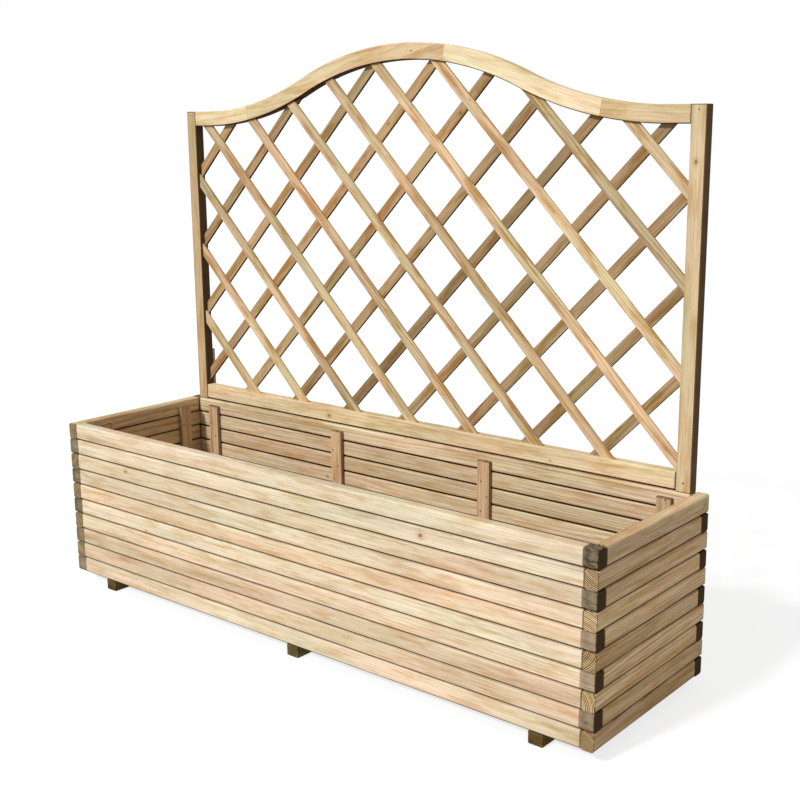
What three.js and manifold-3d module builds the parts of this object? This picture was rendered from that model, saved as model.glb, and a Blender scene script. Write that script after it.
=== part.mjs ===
// A slatted-timber planter with an arched lattice trellis standing on its back wall.
// Millimetres, +Z up. The planter stands on the plane Z = 0, +X runs along its length
// and its front faces -Y. The origin is under the middle of its overall size.
import * as THREE from 'three';
import { mergeVertices } from 'three/addons/utils/BufferGeometryUtils.js';
import Module from 'manifold-3d';

const wasm = await Module();
wasm.setup();

// ---------------------------------------------------------------- driving dimensions

// Box of stacked boards
const boxLength = 1800;
const boxDepth = 500;
const boardThickness = 33;
const boardHeight = 45;
const courseCount = 10;
const courseGap = 0.4;          // between one course and the next
const buttGap = 0.4;            // between a board's end and the board it butts against
const boardArris = 4;           // rounding of a board's long edges
const restGap = 0.3;            // between two pieces that rest on each other

// Base pallet: bearers under the box, with the floor boards nailed on them
const bearerWidth = 40;
const bearerHeight = 32;
const bearerSetback = 4;        // of a bearer's end from the box's front and back faces
const bearerInset = 150;        // of an end bearer's centre line from the box's end
const bearerArris = 3;
const floorBoardThickness = 18;
const floorBoardCount = 4;
const floorBoardGap = 8;        // drainage slot between floor boards
const floorEdgeClearance = 3;   // between the floor and the walls
const floorBoardArris = 2;
const floorSeat = 0.5;          // of the floor boards into the bearers' tops

// Upright battens inside the walls, which hold the courses together
const battenWidth = 40;
const battenThickness = 12;
const battenArris = 2;
const battenTopDrop = 16;       // of a batten's top below the rim
const battenFloorClearance = 2; // above the floor boards
const nailRadius = 2;           // of the nail that holds a batten to the lowest board
const longWallBattenCount = 4;
const longWallBattenMargins = [58, 43]; // from the left and right walls to the end battens
const endWallBattenMargin = 46; // from the front and back walls to the battens

// Trellis frame
const trellisWidth = 1733;      // over both posts
const postHeight = 892;
const postWidth = 40;
const frameDepth = 31;          // of posts, rail and arch, front to back
const postArris = 4;
const railArris = 3;
const railHeight = 43;
const railLift = 4;             // of the bottom rail above the feet of the posts
const archHeight = 43;          // of the arched rail, square to its curve
const archRise = 166;
const archShoulder = 52;        // level length of the arch beside each post
const crownRadius = 920;        // of the arch's upper edge at its crown
const archFacet = 45;           // length of a facet along the arch
const frameJointGap = 0.4;      // between a rail's end and a post

// Lattice: two crossing layers of slats. The front layer leans to the left, the back one to
// the right, and each slat is stapled to one that it crosses.
const slatWidth = 28;
const slatThickness = 7.5;
const slatsEachWay = 11;
const slatAngle = 45.4;         // degrees from level
const slatLayerGap = 0.3;       // between the two layers
const latticeSetback = 7;       // of the front layer behind the front of the frame
const frontSlatMargins = [152, 106]; // from the frame's lower and upper corners to the end slats
const backSlatMargins = [162, 96];
const stapleRadius = 2;
const grooveDepth = 9;          // of the groove round the frame that holds the slats
const grooveClearance = 0.5;    // of the slats in the groove, on every side

// Battens behind the trellis posts
const backingBattenWidth = 40;
const backingBattenThickness = 16;
const backingBattenArris = 2;
const backingBattenAboveRim = 155;
const backingBattenBelowRim = 300;
const backingBattenShift = -10; // of both, along X, from their posts' centre lines

// ---------------------------------------------------------------- worked-out places

const courseStep = boardHeight + courseGap;
const rim = bearerHeight + restGap + courseCount * courseStep - courseGap;
const frontY = -(boxDepth + restGap + backingBattenThickness) / 2;   // outer face of the front wall
const backY = frontY + boxDepth;                  // outer face of the back wall
const middleY = (frontY + backY) / 2;
const innerX = boxLength / 2 - boardThickness;    // inner face of an end wall, from the middle
const innerY = boxDepth / 2 - boardThickness;     // inner face of a long wall, from the middle
const floorTop = bearerHeight - floorSeat + floorBoardThickness;
const battenBottom = floorTop + battenFloorClearance;
const battenTop = rim - battenTopDrop;
const trellisY = backY - frameDepth / 2;          // middle of the frame's depth
const trellisFoot = rim + restGap;
const daylightX = trellisWidth / 2 - postWidth;   // inner face of a post
const railEndX = daylightX - frameJointGap;
const railBottom = trellisFoot + railLift;
const railTop = railBottom + railHeight;
const postTop = trellisFoot + postHeight;
const postX = trellisWidth / 2 - postWidth / 2;
const archHalfSpan = daylightX - archShoulder;
const archTurn = 2 * Math.atan(archRise / archHalfSpan);
const valleyRadius = archHalfSpan / Math.sin(archTurn) - crownRadius;
const frontSlatY = trellisY - frameDepth / 2 + latticeSetback + slatThickness / 2;
const backSlatY = frontSlatY + slatThickness + slatLayerGap;

// ---------------------------------------------------------------- materials

const wood = (color) => new THREE.MeshStandardMaterial({ color, roughness: 0.8, metalness: 0 });
const wallTimber = wood(0xdcc7a0);
const battenTimber = wood(0xbfa27c);
const frameTimber = wood(0xd9c195);
const slatTimber = wood(0xcbb086);
const baseTimber = wood(0x9a8a62);

// ---------------------------------------------------------------- solids

/** A three.js geometry as a manifold solid. */
function solidOf(geometry) {
  const bare = geometry.clone();
  bare.deleteAttribute('normal');
  bare.deleteAttribute('uv');
  const merged = mergeVertices(bare, 1e-4);
  return new wasm.Manifold(new wasm.Mesh({
    numProp: 3,
    vertProperties: Float32Array.from(merged.attributes.position.array),
    triVerts: Uint32Array.from(merged.index.array),
  }));
}

/** A manifold solid as a named mesh. */
function meshOf(name, solid, material) {
  const { vertProperties, triVerts } = solid.getMesh();
  const geometry = new THREE.BufferGeometry();
  geometry.setAttribute('position', new THREE.BufferAttribute(vertProperties, 3));
  geometry.setIndex(new THREE.BufferAttribute(triVerts, 1));
  geometry.computeVertexNormals();
  const mesh = new THREE.Mesh(geometry, material);
  mesh.name = name;
  return mesh;
}

/** The outline of a sawn section with rounded corners, centred on the origin. */
function sectionShape(width, height, arris) {
  const x = width / 2 - arris;
  const y = height / 2 - arris;
  const shape = new THREE.Shape();
  shape.absarc(x, -y, arris, -Math.PI / 2, 0);
  shape.absarc(x, y, arris, 0, Math.PI / 2);
  shape.absarc(-x, y, arris, Math.PI / 2, Math.PI);
  shape.absarc(-x, -y, arris, Math.PI, Math.PI * 1.5);
  return shape;
}

/** The axes that a bar's section's width, its height and its length lie along. */
const barAxes = {
  x: [new THREE.Vector3(0, 1, 0), new THREE.Vector3(0, 0, 1), new THREE.Vector3(1, 0, 0)],
  y: [new THREE.Vector3(0, 0, 1), new THREE.Vector3(1, 0, 0), new THREE.Vector3(0, 1, 0)],
  z: [new THREE.Vector3(1, 0, 0), new THREE.Vector3(0, 1, 0), new THREE.Vector3(0, 0, 1)],
};

/** A bar with rounded edges, its length along one axis and its middle at a place. */
function bar(name, along, { length, width, height, arris }, place, material) {
  const options = { depth: length, bevelEnabled: false, curveSegments: 1 };
  const geometry = new THREE.ExtrudeGeometry(sectionShape(width, height, arris), options);
  geometry.translate(0, 0, -length / 2);
  geometry.applyMatrix4(new THREE.Matrix4().makeBasis(...barAxes[along]));
  const mesh = new THREE.Mesh(geometry, material);
  mesh.name = name;
  mesh.position.copy(place);
  return mesh;
}

/** The solid of a placed mesh. */
function placedSolid(mesh) {
  mesh.updateMatrix();
  return solidOf(mesh.geometry.clone().applyMatrix4(mesh.matrix));
}

/** One solid of several that overlap, or that a pin between them holds together. */
const union = (solids) => solids.reduce((all, one) => all.add(one));

/** A nail's or a staple's leg along Y or X, from the middle of one piece to that of another. */
function pin(radius, from, to) {
  const leg = new THREE.CylinderGeometry(radius, radius, from.distanceTo(to), 6);
  const along = to.clone().sub(from).normalize();
  leg.applyQuaternion(new THREE.Quaternion().setFromUnitVectors(new THREE.Vector3(0, 1, 0), along));
  const middle = from.clone().add(to).divideScalar(2);
  return solidOf(leg.translate(middle.x, middle.y, middle.z));
}

// ---------------------------------------------------------------- the box of boards

const walls = [
  { wall: 'front', along: 'x', side: -1, oddRunsTo: 1 },
  { wall: 'right', along: 'y', side: 1, oddRunsTo: 1 },
  { wall: 'back', along: 'x', side: 1, oddRunsTo: -1 },
  { wall: 'left', along: 'y', side: -1, oddRunsTo: -1 },
];

/**
 * One board of a wall. At one end it runs through to the box's outer face and at the other it
 * butts against the next wall's board, and from course to course the two ends change places.
 */
function wallBoard({ wall, along, side, oddRunsTo }, course) {
  const half = (along === 'x' ? boxLength : boxDepth) / 2;
  const across = side * ((along === 'x' ? boxDepth : boxLength) - boardThickness) / 2;
  const runsTo = course % 2 === 1 ? oddRunsTo : -oddRunsTo;
  const cutShort = boardThickness + buttGap;
  const middle = runsTo * cutShort / 2;
  const z = rim - (course - 1) * courseStep - boardHeight / 2;
  const place = along === 'x'
    ? new THREE.Vector3(middle, middleY + across, z)
    : new THREE.Vector3(across, middleY + middle, z);
  const size = along === 'x'
    ? { length: 2 * half - cutShort, width: boardThickness, height: boardHeight, arris: boardArris }
    : { length: 2 * half - cutShort, width: boardHeight, height: boardThickness, arris: boardArris };
  const name = `${wall}_board_${String(course).padStart(2, '0')}`;
  return bar(name, along, size, place, wallTimber);
}

function wallBoards() {
  const courses = Array.from({ length: courseCount - 1 }, (_, index) => index + 1);
  return courses.flatMap((course) => walls.map((wall) => wallBoard(wall, course)));
}

// ---------------------------------------------------------------- base pallet

function basePallet() {
  const bearer = {
    length: boxDepth - 2 * bearerSetback, width: bearerHeight, height: bearerWidth, arris: bearerArris,
  };
  const endX = boxLength / 2 - bearerInset;
  const bearers = [-endX, 0, endX].map((x) => bar(
    '', 'y', bearer, new THREE.Vector3(x, middleY, bearerHeight / 2), baseTimber));

  const room = 2 * (innerY - floorEdgeClearance);
  const width = (room - (floorBoardCount - 1) * floorBoardGap) / floorBoardCount;
  const floorBoard = {
    length: 2 * (innerX - floorEdgeClearance), width, height: floorBoardThickness, arris: floorBoardArris,
  };
  const floorBoards = Array.from({ length: floorBoardCount }, (_, index) => {
    const y = middleY - room / 2 + width / 2 + index * (width + floorBoardGap);
    const place = new THREE.Vector3(0, y, floorTop - floorBoardThickness / 2);
    return bar('', 'x', floorBoard, place, baseTimber);
  });

  return meshOf('base_pallet', union([...bearers, ...floorBoards].map(placedSolid)), baseTimber);
}

// ---------------------------------------------------------------- battens inside the walls

/** Where a wall's battens stand, from the middle of the box. */
function battenPlaces({ along, side }) {
  if (along === 'x') {
    const first = longWallBattenMargins[0] + battenWidth / 2 - innerX;
    const last = innerX - longWallBattenMargins[1] - battenWidth / 2;
    const y = side * (innerY - restGap - battenThickness / 2);
    return Array.from({ length: longWallBattenCount }, (_, index) => {
      const x = THREE.MathUtils.lerp(first, last, index / (longWallBattenCount - 1));
      return new THREE.Vector3(x, middleY + y, 0);
    });
  }
  const x = side * (innerX - restGap - battenThickness / 2);
  const reach = innerY - endWallBattenMargin - battenWidth / 2;
  return [-reach, reach].map((y) => new THREE.Vector3(x, middleY + y, 0));
}

/** The lowest board of a wall, with the wall's upright battens nailed on it. */
function lowestBoardWithBattens(wall) {
  const board = wallBoard(wall, courseCount);
  const length = battenTop - battenBottom;
  const size = wall.along === 'x'
    ? { length, width: battenWidth, height: battenThickness, arris: battenArris }
    : { length, width: battenThickness, height: battenWidth, arris: battenArris };
  const outwards = wall.along === 'x'
    ? new THREE.Vector3(0, wall.side, 0)
    : new THREE.Vector3(wall.side, 0, 0);
  const nailZ = (battenBottom + board.position.z + boardHeight / 2) / 2;
  const solids = battenPlaces(wall).flatMap((place) => {
    const batten = bar('', 'z', size, place.clone().setZ((battenTop + battenBottom) / 2), battenTimber);
    const nailFrom = place.clone().setZ(nailZ);
    const nailTo = nailFrom.clone().addScaledVector(outwards, (battenThickness + boardThickness) / 2);
    return [placedSolid(batten), pin(nailRadius, nailFrom, nailTo)];
  });
  return meshOf(`${board.name}_and_battens`, union([placedSolid(board), ...solids]), wallTimber);
}

// ---------------------------------------------------------------- trellis frame

/** Height, at X, of the line that runs a given distance inside the arch's upper edge. */
function archLine(x, inside) {
  const across = Math.abs(x);
  const crown = crownRadius - inside;
  const valley = valleyRadius + inside;
  if (across < crown * Math.sin(archTurn)) {
    return postTop + archRise - crownRadius + Math.sqrt(crown ** 2 - across ** 2);
  }
  if (across >= archHalfSpan) return postTop - inside;
  return postTop + valleyRadius - Math.sqrt(valley ** 2 - (archHalfSpan - across) ** 2);
}

/** The arched rail's centre line. */
class ArchCentreLine extends THREE.Curve {
  getPoint(t, target = new THREE.Vector3()) {
    const x = THREE.MathUtils.lerp(-railEndX, railEndX, t);
    return target.set(x, trellisY, archLine(x, archHeight / 2));
  }
}

function archRail() {
  const path = new ArchCentreLine();
  const options = {
    steps: Math.round(path.getLength() / archFacet), extrudePath: path, curveSegments: 1,
  };
  const section = sectionShape(archHeight, frameDepth, railArris);
  const mesh = new THREE.Mesh(new THREE.ExtrudeGeometry(section, options), frameTimber);
  mesh.name = 'arch_rail';
  return mesh;
}

function post(name, side) {
  const size = { length: postHeight, width: postWidth, height: frameDepth, arris: postArris };
  const place = new THREE.Vector3(side * postX, trellisY, trellisFoot + postHeight / 2);
  return bar(name, 'z', size, place, frameTimber);
}

function bottomRail() {
  const size = { length: 2 * railEndX, width: frameDepth, height: railHeight, arris: railArris };
  return bar('bottom_rail', 'x', size, new THREE.Vector3(0, trellisY, railBottom + railHeight / 2), frameTimber);
}

/** The opening of the frame, grown by a distance into its pieces, as a slab between two depths. */
function openingSlab(grow, fromY, toY) {
  const sideX = daylightX + grow;
  const steps = Math.round((2 * sideX) / archFacet);
  const shape = new THREE.Shape();
  shape.moveTo(-sideX, railTop - grow);
  shape.lineTo(sideX, railTop - grow);
  for (let step = steps; step >= 0; step -= 1) {
    const x = -sideX + (2 * sideX * step) / steps;
    shape.lineTo(x, archLine(x, archHeight - grow));
  }
  const slab = new THREE.ExtrudeGeometry(shape, { depth: toY - fromY, bevelEnabled: false });
  slab.rotateX(Math.PI / 2);
  slab.translate(0, toY, 0);
  return solidOf(slab);
}

/** The frame's posts and rails, with the groove for the lattice in their inner faces. */
function trellisFrame() {
  const reach = slatThickness / 2 + grooveClearance;
  const groove = openingSlab(grooveDepth, frontSlatY - reach, backSlatY + reach);
  const pieces = [post('post_left', -1), post('post_right', 1), bottomRail(), archRail()];
  return pieces.map((piece) => meshOf(piece.name, placedSolid(piece).subtract(groove), frameTimber));
}

// ---------------------------------------------------------------- lattice

const slatTurn = THREE.MathUtils.degToRad(slatAngle);
const across = new THREE.Vector2(Math.sin(slatTurn), Math.cos(slatTurn));

// Distances square to a slat are measured from where its layer's direction meets the middle of
// the frame's width. These are the frame's lower and upper corners on that scale.
const lowerCorner = railTop * across.y - daylightX * across.x;
const upperCorner = (postTop - archHeight) * across.y + daylightX * across.x;

/** The distances of one layer's slats, the same step apart between its two margins. */
function slatOffsets([lowerMargin, upperMargin]) {
  const first = lowerCorner + lowerMargin;
  const last = upperCorner - upperMargin;
  return Array.from({ length: slatsEachWay }, (_, index) => (
    THREE.MathUtils.lerp(first, last, index / (slatsEachWay - 1))));
}

/** One slat cut to the frame. Lean 1 runs down to the right, lean -1 up to the right. */
function slat(lean, offset, y, trim) {
  const reach = trellisWidth + postTop;
  const strip = new THREE.BoxGeometry(2 * reach, slatThickness, slatWidth);
  strip.translate(0, 0, offset);
  strip.rotateY(lean * slatTurn);
  strip.translate(0, y, 0);
  return solidOf(strip).intersect(trim);
}

/** The staple where a front and a back slat cross. */
function staple(frontOffset, backOffset) {
  const x = (frontOffset - backOffset) / (2 * across.x);
  const z = (frontOffset + backOffset) / (2 * across.y);
  return pin(
    stapleRadius, new THREE.Vector3(x, frontSlatY, z), new THREE.Vector3(x, backSlatY, z));
}

/**
 * The back slat that a front slat is stapled to in its pair. The short slats near a corner of
 * the frame cross those well above or below them, and the long middle ones cross each other.
 */
function partnerOf(front) {
  const last = slatsEachWay - 1;
  const shift = Math.ceil(slatsEachWay * 0.6);
  if (front + shift <= last) return front + shift;
  if (front >= shift) return front - shift;
  return last - front;
}

/** The lattice as pairs of stapled slats, one from each layer. */
function lattice() {
  const trim = openingSlab(
    grooveDepth - grooveClearance, frontSlatY - slatThickness, backSlatY + slatThickness);
  const backs = slatOffsets(backSlatMargins);
  return slatOffsets(frontSlatMargins).map((front, index) => {
    const back = backs[partnerOf(index)];
    const pair = union([
      slat(1, front, frontSlatY, trim), slat(-1, back, backSlatY, trim), staple(front, back)]);
    return meshOf(`slat_pair_${String(index + 1).padStart(2, '0')}`, pair, slatTimber);
  });
}

// ---------------------------------------------------------------- battens behind the posts

function backingBatten(name, side) {
  const size = {
    length: backingBattenAboveRim + backingBattenBelowRim,
    width: backingBattenWidth,
    height: backingBattenThickness,
    arris: backingBattenArris,
  };
  const z = rim + (backingBattenAboveRim - backingBattenBelowRim) / 2;
  const y = backY + restGap + backingBattenThickness / 2;
  return bar(name, 'z', size, new THREE.Vector3(side * postX + backingBattenShift, y, z), battenTimber);
}

// ---------------------------------------------------------------- the whole planter

const planter = new THREE.Group();
planter.add(basePallet());
planter.add(...wallBoards());
planter.add(...walls.map(lowestBoardWithBattens));
planter.add(...trellisFrame());
planter.add(...lattice());
planter.add(backingBatten('backing_batten_left', -1));
planter.add(backingBatten('backing_batten_right', 1));

export default planter;
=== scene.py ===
"""Dresses the slatted timber planter with its arched lattice trellis and lights it in a studio."""
import logging
import math
import random
from dataclasses import dataclass, field
from enum import Enum
from typing import Callable

import bmesh
import bpy
from mathutils import Matrix, Vector


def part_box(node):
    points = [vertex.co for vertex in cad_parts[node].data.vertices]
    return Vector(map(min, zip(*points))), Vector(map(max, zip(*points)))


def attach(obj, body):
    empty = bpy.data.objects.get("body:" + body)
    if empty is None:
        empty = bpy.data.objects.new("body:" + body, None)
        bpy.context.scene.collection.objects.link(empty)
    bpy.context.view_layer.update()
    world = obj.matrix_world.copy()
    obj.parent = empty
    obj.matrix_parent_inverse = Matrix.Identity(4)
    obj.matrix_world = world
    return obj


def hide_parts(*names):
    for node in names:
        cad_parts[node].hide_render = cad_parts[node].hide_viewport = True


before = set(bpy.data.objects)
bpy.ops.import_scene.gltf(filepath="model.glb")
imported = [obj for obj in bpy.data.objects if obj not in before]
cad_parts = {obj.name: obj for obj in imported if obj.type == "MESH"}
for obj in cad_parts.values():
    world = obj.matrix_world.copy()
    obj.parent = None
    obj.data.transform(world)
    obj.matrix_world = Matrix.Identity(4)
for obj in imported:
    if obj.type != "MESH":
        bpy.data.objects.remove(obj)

LOG = logging.getLogger("planter")
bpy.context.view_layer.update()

Colour = tuple[float, float, float]
Traits = tuple[float, float, float, float]
Socket = bpy.types.NodeSocket


def srgb(red: float, green: float, blue: float) -> tuple[float, float, float, float]:
    """Turns a colour as a screen shows it into the light that a shader needs.

    Args:
        red: Red from 0 to 255.
        green: Green from 0 to 255.
        blue: Blue from 0 to 255.

    Returns:
        Linear red, green, blue and an alpha of 1.
    """
    def linear(value: float) -> float:
        """Undoes the screen's curve for one channel."""
        share = value / 255
        return share / 12.92 if share <= 0.04045 else ((share + 0.055) / 1.055) ** 2.4
    return (linear(red), linear(green), linear(blue), 1.0)


def shade(colour: Colour, share: float) -> tuple[float, float, float, float]:
    """Gives the light of a darker shade of a colour, from the share of it that is left."""
    return srgb(*(share * part for part in colour))


# ---------------------------------------------------------------- finishes


class Sketch:
    """A material's or the surround's node tree, with a short way to add each kind of node."""

    def __init__(self, owner: bpy.types.Material | bpy.types.World) -> None:
        """Empties the owner's node tree.

        Args:
            owner: The material or the surround that is drawn.
        """
        self.owner = owner
        self.owner.use_nodes = True
        self.tree = self.owner.node_tree
        self.tree.nodes.clear()

    @classmethod
    def material(cls, name: str) -> "Sketch":
        """Starts the sketch of a new material."""
        return cls(bpy.data.materials.new(name))

    def add(self, kind: str, **settings: object) -> bpy.types.Node:
        """Adds a node.

        Args:
            kind: The node's type without its ShaderNode prefix.
            settings: Properties to set on it.

        Returns:
            The new node.
        """
        node = self.tree.nodes.new("ShaderNode" + kind)
        for key, value in settings.items():
            setattr(node, key, value)
        return node

    def feed(self, socket: Socket, value: object) -> None:
        """Links a socket to an input, or sets the input to a plain value.

        Args:
            socket: The input.
            value: A socket or a plain value.
        """
        if isinstance(value, bpy.types.NodeSocket):
            self.tree.links.new(value, socket)
        else:
            socket.default_value = value

    def maths(self, operation: str, *values: object) -> Socket:
        """Adds a Math node.

        Args:
            operation: Blender's name of the operation.
            values: What it works on.

        Returns:
            Its result.
        """
        node = self.add("Math", operation=operation)
        for socket, value in zip(node.inputs, values):
            self.feed(socket, value)
        return node.outputs[0]

    def product(self, *values: object) -> Socket:
        """Multiplies two or more values.

        Args:
            values: Sockets or plain numbers.

        Returns:
            Their product.
        """
        result = values[0]
        for value in values[1:]:
            result = self.maths("MULTIPLY", result, value)
        return result

    def spread(self, value: object, low: object, high: object,
               start: object = 0.0, end: object = 1.0) -> Socket:
        """Maps a value smoothly from one range to another and holds it there.

        Args:
            value: What is mapped.
            low: Where the first range starts.
            high: Where the first range ends.
            start: What low maps to.
            end: What high maps to.

        Returns:
            The mapped value.
        """
        node = self.add("MapRange", interpolation_type="SMOOTHSTEP")
        for key, item in (("Value", value), ("From Min", low), ("From Max", high),
                          ("To Min", start), ("To Max", end)):
            self.feed(node.inputs[key], item)
        return node.outputs[0]

    def point(self, x: object, y: object, z: object) -> Socket:
        """Joins three numbers into a vector.

        Args:
            x: Its first number.
            y: Its second number.
            z: Its third number.

        Returns:
            The vector.
        """
        node = self.add("CombineXYZ")
        for socket, value in zip(node.inputs, (x, y, z)):
            self.feed(socket, value)
        return node.outputs[0]

    def split(self, vector: Socket) -> tuple[Socket, Socket, Socket]:
        """Parts a vector into its three numbers.

        Args:
            vector: The vector.

        Returns:
            Its three numbers.
        """
        node = self.add("SeparateXYZ")
        self.feed(node.inputs[0], vector)
        return node.outputs[0], node.outputs[1], node.outputs[2]

    def noise(self, where: Socket, detail: float = 2.0, roughness: float = 0.5) -> Socket:
        """Adds a noise of about one cell per unit of its vector.

        Args:
            where: The vector.
            detail: How many finer layers it has.
            roughness: How strong the finer layers are.

        Returns:
            Its value, from 0 to 1.
        """
        node = self.add("TexNoise", noise_dimensions="3D")
        self.feed(node.inputs["Vector"], where)
        node.inputs["Scale"].default_value = 1.0
        node.inputs["Detail"].default_value = detail
        node.inputs["Roughness"].default_value = roughness
        return node.outputs["Fac"]

    def trait(self, name: str) -> Socket:
        """Reads one of a piece's own traits."""
        return self.add("Attribute", attribute_type="OBJECT", attribute_name=name).outputs["Fac"]

    def blend(self, share: object, first: object, second: object, mode: str = "MIX") -> Socket:
        """Mixes two colours.

        Args:
            share: How much of the second colour.
            first: The colour underneath.
            second: The colour mixed in.
            mode: Blender's name of the way they mix.

        Returns:
            The mixed colour.
        """
        node = self.add("Mix", data_type="RGBA", blend_type=mode, clamp_factor=True)
        self.feed(node.inputs[0], share)
        self.feed(node.inputs[6], first)
        self.feed(node.inputs[7], second)
        return node.outputs[2]

    def tinted(self, share: object, colour: object, tint: object) -> Socket:
        """Multiplies a colour by a tint, as far as the share says."""
        return self.blend(share, colour, tint, "MULTIPLY")

    def finish(self, shader: bpy.types.Node) -> bpy.types.Material | bpy.types.World:
        """Joins a shader to the owner's output.

        Args:
            shader: The shader.

        Returns:
            The owner.
        """
        kind = "OutputWorld" if isinstance(self.owner, bpy.types.World) else "OutputMaterial"
        self.tree.links.new(shader.outputs[0], self.add(kind).inputs["Surface"])
        return self.owner


@dataclass(frozen=True)
class Softwood:
    """Planed softwood. Its grain runs along a piece's local X axis and its rings round a pith.

    Attributes:
        name: The material's name.
        early: Colour of the pale wood between the rings.
        late: Colour of the rings' dark lines.
        ring: Width of a year's ring, in metres.
        contrast: How strongly the rings show, from 0 to 1.
        mottle: How much the tone drifts along a piece, from 0 to 1.
        roughness: Of the planed face.
        knot: Colour of a knot.
        knot_pitch: Distance from one place for a knot to the next, in metres.
        stain: Colour of the dip stain on a face.
        stained_end: Colour of the dip stain on end grain.
        joint_grime_and_painted_shade: Tint of the grime and painted shade in a joint's roundings,
            of the painted shade on the faces turned from the light, and of the sawn edges.
        pink: Tint of a warm piece.
        golden: Tint of a honey-coloured piece.
        hues: The two tints that a piece drifts between.
        patch: Tint of the darker patches along a piece.
        knot_rim: Tint round a knot.
        bare_end: Tint of unstained end grain.
        grey_end: Tint of end grain gone grey.
        streaks: Its layers of streaks: cells a metre along and across the grain, and strength.
        fine_streak: Cells a metre across the grain above which a streak has the pores' colour.
        relief: Strength of the bumps.
        relief_depth: Their depth, in metres.
        specular: Level of its mirror reflection.
    """

    name: str
    early: Colour
    late: Colour
    ring: float = 0.0042
    contrast: float = 0.62
    mottle: float = 0.5
    roughness: float = 0.66
    knot: Colour = (142, 100, 64)
    knot_pitch: float = 0.42
    stain: Colour = (144, 126, 97)
    stained_end: Colour = (78, 58, 33)
    joint_grime_and_painted_shade: Colour = (80, 50, 18)
    pink: Colour = (252, 216, 190)
    golden: Colour = (246, 234, 196)
    hues: tuple[Colour, Colour] = ((255, 238, 228), (240, 244, 226))
    patch: Colour = (228, 206, 172)
    knot_rim: Colour = (214, 186, 152)
    bare_end: Colour = (212, 210, 200)
    grey_end: Colour = (150, 144, 112)
    streaks: tuple[tuple[float, float, float], ...] = (
        (1.5, 50.0, 0.75), (5.0, 120.0, 0.4), (2.2, 260.0, 0.4))
    fine_streak: float = 100.0
    relief: float = 0.6
    relief_depth: float = 0.0005
    specular: float = 0.03

    def build(self) -> bpy.types.Material:
        """Makes the material: rings, fibres, knots, dark joints with painted shade, painted shade
        on the faces turned from the light, and the dip stain on ends.

        Returns:
            The material.
        """
        s = Sketch.material(self.name)
        coordinates = s.add("TexCoord")
        x, y, z = s.split(coordinates.outputs["Object"])
        facing = s.split(coordinates.outputs["Normal"])
        end = s.spread(s.maths("ABSOLUTE", facing[0]), 0.55, 0.8)
        seed = s.trait("seed")
        run = s.maths("ADD", x, s.product(seed, 1.7))

        gap, size, here = self._knots(s, run, z)
        bulge = s.product(s.spread(gap, 0.0, s.product(size, 3.2), 0.006, 0.0), here)
        rings = self._rings(s, (run, y, z), seed, bulge, end)
        fibre = s.noise(s.point(s.product(run, 16.0), s.product(y, 700.0), s.product(z, 700.0)),
                        3.0, 0.65)

        figure = s.trait("figure")
        pores = shade(self.late, 0.78)
        strength = s.spread(end, 0.0, 1.0, s.product(figure, self.contrast), 1.6)
        colour = s.blend(s.product(rings, strength), srgb(*self.early),
                         s.blend(end, pores, shade(self.late, 0.32)))
        soft = s.product(s.maths("MINIMUM", figure, 0.9), s.spread(end, 0.0, 1.0, 1.0, 0.2))
        for lengthwise, across, deepest in self.streaks:
            streak = s.noise(s.point(s.product(run, lengthwise), s.product(y, across),
                                     s.product(z, across)), 3.0, 0.6)
            share = s.product(s.spread(streak, 0.5, 0.7, 0.0, deepest), soft)
            tint = pores if across > self.fine_streak else srgb(*self.late)
            colour = s.blend(share, colour, tint)
        colour = s.blend(s.spread(fibre, 0.35, 0.75, 0.0, 0.4), colour, pores)
        colour = self._toned(s, colour, run, z, seed)
        colour = self._draw_knots(s, colour, gap, size, here)
        colour = s.tinted(s.product(end, 0.9), colour, srgb(*self.bare_end))
        colour = s.tinted(s.product(end, s.trait("weather")), colour, srgb(*self.grey_end))
        colour = self._stained(s, colour, (x, y, z), end, fibre)
        colour = self._shaded(s, colour, x, facing[2], end)

        shader = s.add("BsdfPrincipled")
        s.feed(shader.inputs["Base Color"], colour)
        s.feed(shader.inputs["Roughness"], s.spread(fibre, 0.2, 0.8, self.roughness - 0.06,
                                                    self.roughness + 0.12))
        shader.inputs["Specular IOR Level"].default_value = self.specular
        bump = s.add("Bump")
        bump.inputs["Strength"].default_value = self.relief
        bump.inputs["Distance"].default_value = self.relief_depth
        raised = s.maths("ADD", s.product(rings, 0.5), fibre)
        s.feed(bump.inputs["Height"], s.product(raised, s.maths("SUBTRACT", 1.0, end)))
        s.feed(shader.inputs["Normal"], bump.outputs[0])
        return s.finish(shader)

    def _toned(self, s: Sketch, colour: Socket, run: Socket, z: Socket, seed: Socket) -> Socket:
        """Gives a piece its own tone and warmth, and lets both drift along it.

        Args:
            s: The material's sketch.
            colour: The wood's colour so far.
            run: Distance along the grain, shifted by the piece's seed.
            z: Distance across the face.
            seed: The piece's seed.

        Returns:
            The toned colour.
        """
        drift = s.noise(s.point(s.product(run, 1.9), seed, s.product(z, 14.0)), 2.0)
        cloud = s.noise(s.point(s.product(run, 2.6), seed, s.product(z, 18.0)), 3.0, 0.6)
        colour = s.tinted(s.trait("warmth"), colour, srgb(*self.pink))
        colour = s.tinted(s.trait("honey"), colour, srgb(*self.golden))
        hue = s.blend(s.spread(cloud, 0.36, 0.64), *(srgb(*tint) for tint in self.hues))
        colour = s.tinted(self.mottle, colour, hue)
        patch = s.noise(s.point(s.product(run, 8.0), seed, s.product(z, 55.0)), 3.0, 0.65)
        colour = s.tinted(s.spread(patch, 0.44, 0.68, 0.0, 1.3 * self.mottle), colour,
                          srgb(*self.patch))
        drifted = s.spread(drift, 0.25, 0.75, 1.0 - 0.24 * self.mottle, 1.0 + 0.16 * self.mottle)
        bright = s.product(s.maths("ADD", s.trait("tone"), 1.09), drifted)
        return s.tinted(1.0, colour, s.point(bright, bright, bright))

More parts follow.
